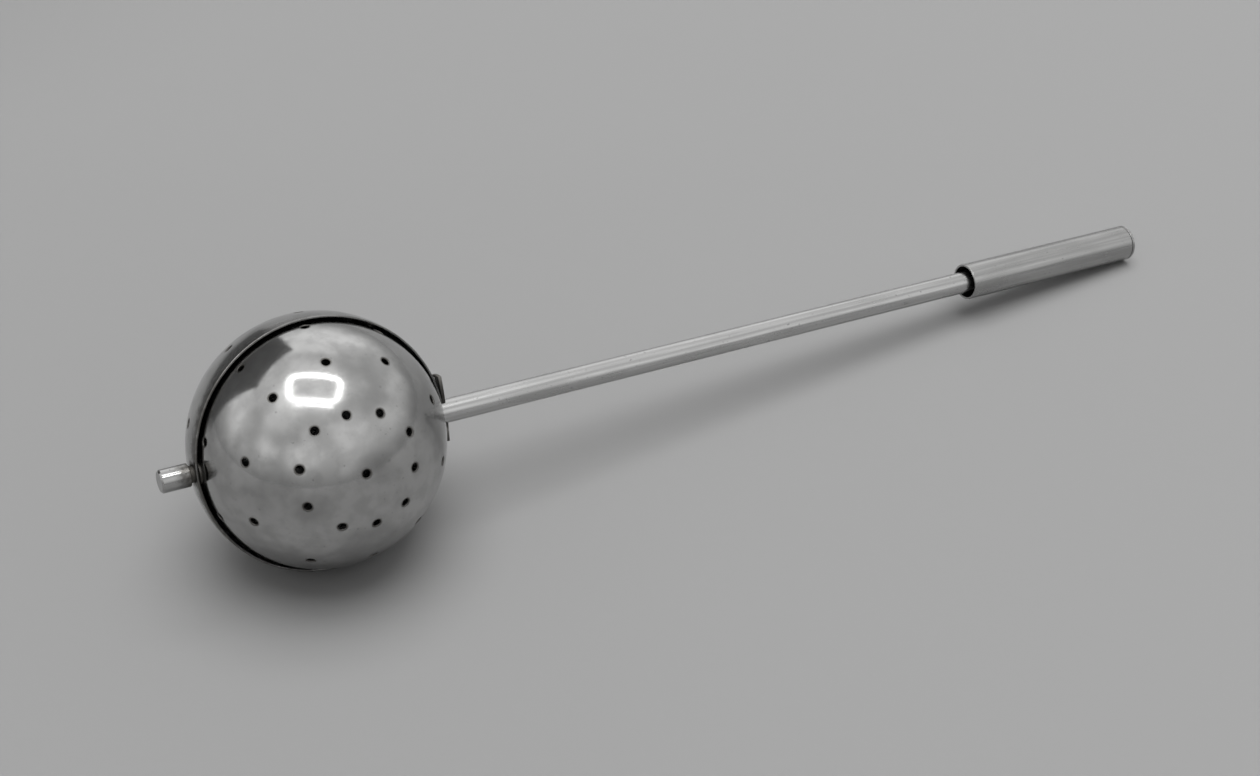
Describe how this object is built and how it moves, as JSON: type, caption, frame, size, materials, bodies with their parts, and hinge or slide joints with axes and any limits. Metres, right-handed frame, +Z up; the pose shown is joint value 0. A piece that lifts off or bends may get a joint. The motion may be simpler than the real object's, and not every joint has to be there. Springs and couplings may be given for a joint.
{
  "type": "tea ball strainer",
  "caption": "Long-handled perforated tea ball whose half shells open when the grip at the tube's far end is turned.",
  "frame": {"origin": "on the table that the strainer lies on, under the middle of its bounding box", "axes": "+X along the handle on the table, from the ball to the grip; +Z up; the inner half shell faces -Y"},
  "size_m": [0.1844, 0.0394, 0.0393],
  "materials": {
    "polished_plate": "polished, with fine rubbing marks",
    "satin_plate": "satin, rubbed along its length",
    "rod_steel": "plain drawn",
    "bearing_nickel_silver": "turned, dulled with age"
  },
  "bodies": {
    "handle": {"outer_half_shell": "polished_plate", "root_strap": "satin_plate", "handle_tube": "satin_plate", "near_bush": "bearing_nickel_silver", "far_bush": "bearing_nickel_silver", "grip_bush": "bearing_nickel_silver"},
    "turning_half": {"inner_half_shell": "polished_plate", "drive_rod": "rod_steel", "near_hub": "bearing_nickel_silver", "far_hub": "bearing_nickel_silver", "near_hub_pin": "rod_steel", "far_hub_pin": "rod_steel", "wave_washer": "rod_steel", "thrust_washer": "rod_steel", "end_stub": "satin_plate", "grip_sleeve": "satin_plate", "grip_plug": "satin_plate", "grip_pin": "rod_steel"}
  },
  "joints": [
    {"name": "grip_turn", "type": "hinge", "parent": "handle", "child": "turning_half", "pos_m": [-0.0671, -0.00041, 0.02005], "axis": [0.9944, 0, -0.1058], "range_deg": [0, 180]}
  ]
}
